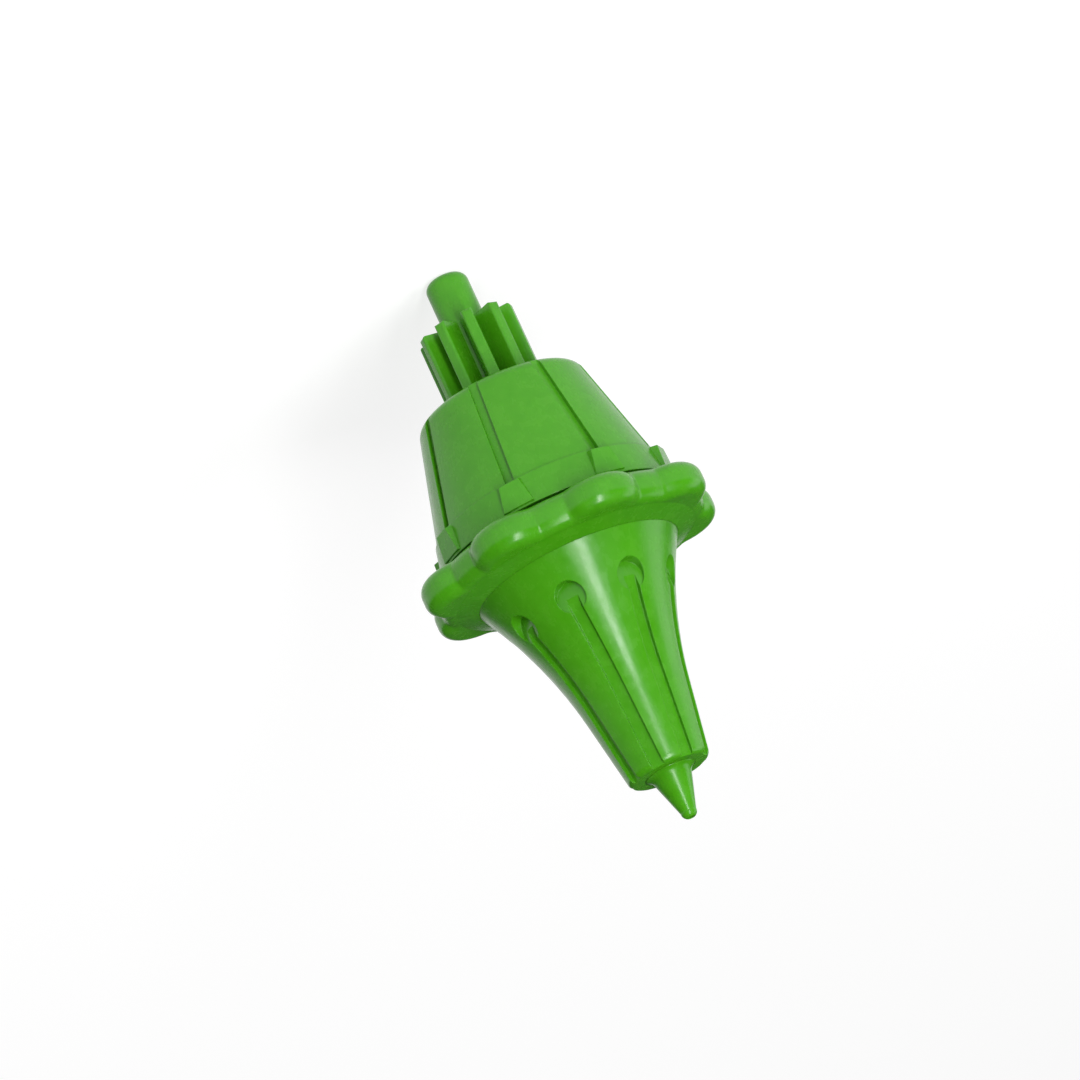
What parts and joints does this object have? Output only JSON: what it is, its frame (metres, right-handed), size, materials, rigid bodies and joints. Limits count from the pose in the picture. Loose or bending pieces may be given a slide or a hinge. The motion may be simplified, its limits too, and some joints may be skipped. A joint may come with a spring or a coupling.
{
  "type": "drip emitter",
  "caption": "Take-apart drip emitter: finned inlet spigot and ribbed cup screwed to a fluted, tapering outlet with a lobed grip collar and a fine drip tip.",
  "frame": {"origin": "on the axis, where the inlet spigot meets the free ends of its fins, which is where a pushed-on tube stops", "axes": "+Z along the axis from the inlet spigot to the drip tip; a wall groove lies 12 degrees from +X towards +Y"},
  "size_m": [0.0218, 0.0218, 0.0445],
  "materials": {
    "green_plastic": "satin moulded plastic",
    "filter_plastic": "matte moulded plastic",
    "core_plastic": "matte moulded plastic",
    "silicone": "translucent matte",
    "seal_rubber": "matte"
  },
  "bodies": {
    "inlet_half": {"inlet_cap": "green_plastic", "inlet_filter": "filter_plastic"},
    "seal": {"seal_ring": "seal_rubber"},
    "outlet_half": {"outlet_body": "green_plastic", "grip_collar": "green_plastic", "drip_nozzle": "green_plastic", "flow_core": "core_plastic", "diaphragm_retainer": "core_plastic"},
    "diaphragm_disc": {"diaphragm": "silicone"}
  },
  "joints": [
    {"name": "outlet_lift", "type": "slide", "parent": "inlet_half", "child": "seal", "axis": [0, 0, 1], "range_m": [0, 0.00901]},
    {"name": "outlet_turn", "type": "hinge", "parent": "seal", "child": "outlet_half", "pos_m": [0, 0, 0], "axis": [0, 0, 1], "range_deg": [0, 1080]},
    {"name": "diaphragm_float", "type": "slide", "parent": "outlet_half", "child": "diaphragm_disc", "axis": [0, 0, 1], "range_m": [0, 0.0004]}
  ],
  "couplings": [
    {"joint": "outlet_lift", "follows": "outlet_turn", "m_per_rad": 0.00047746}
  ]
}
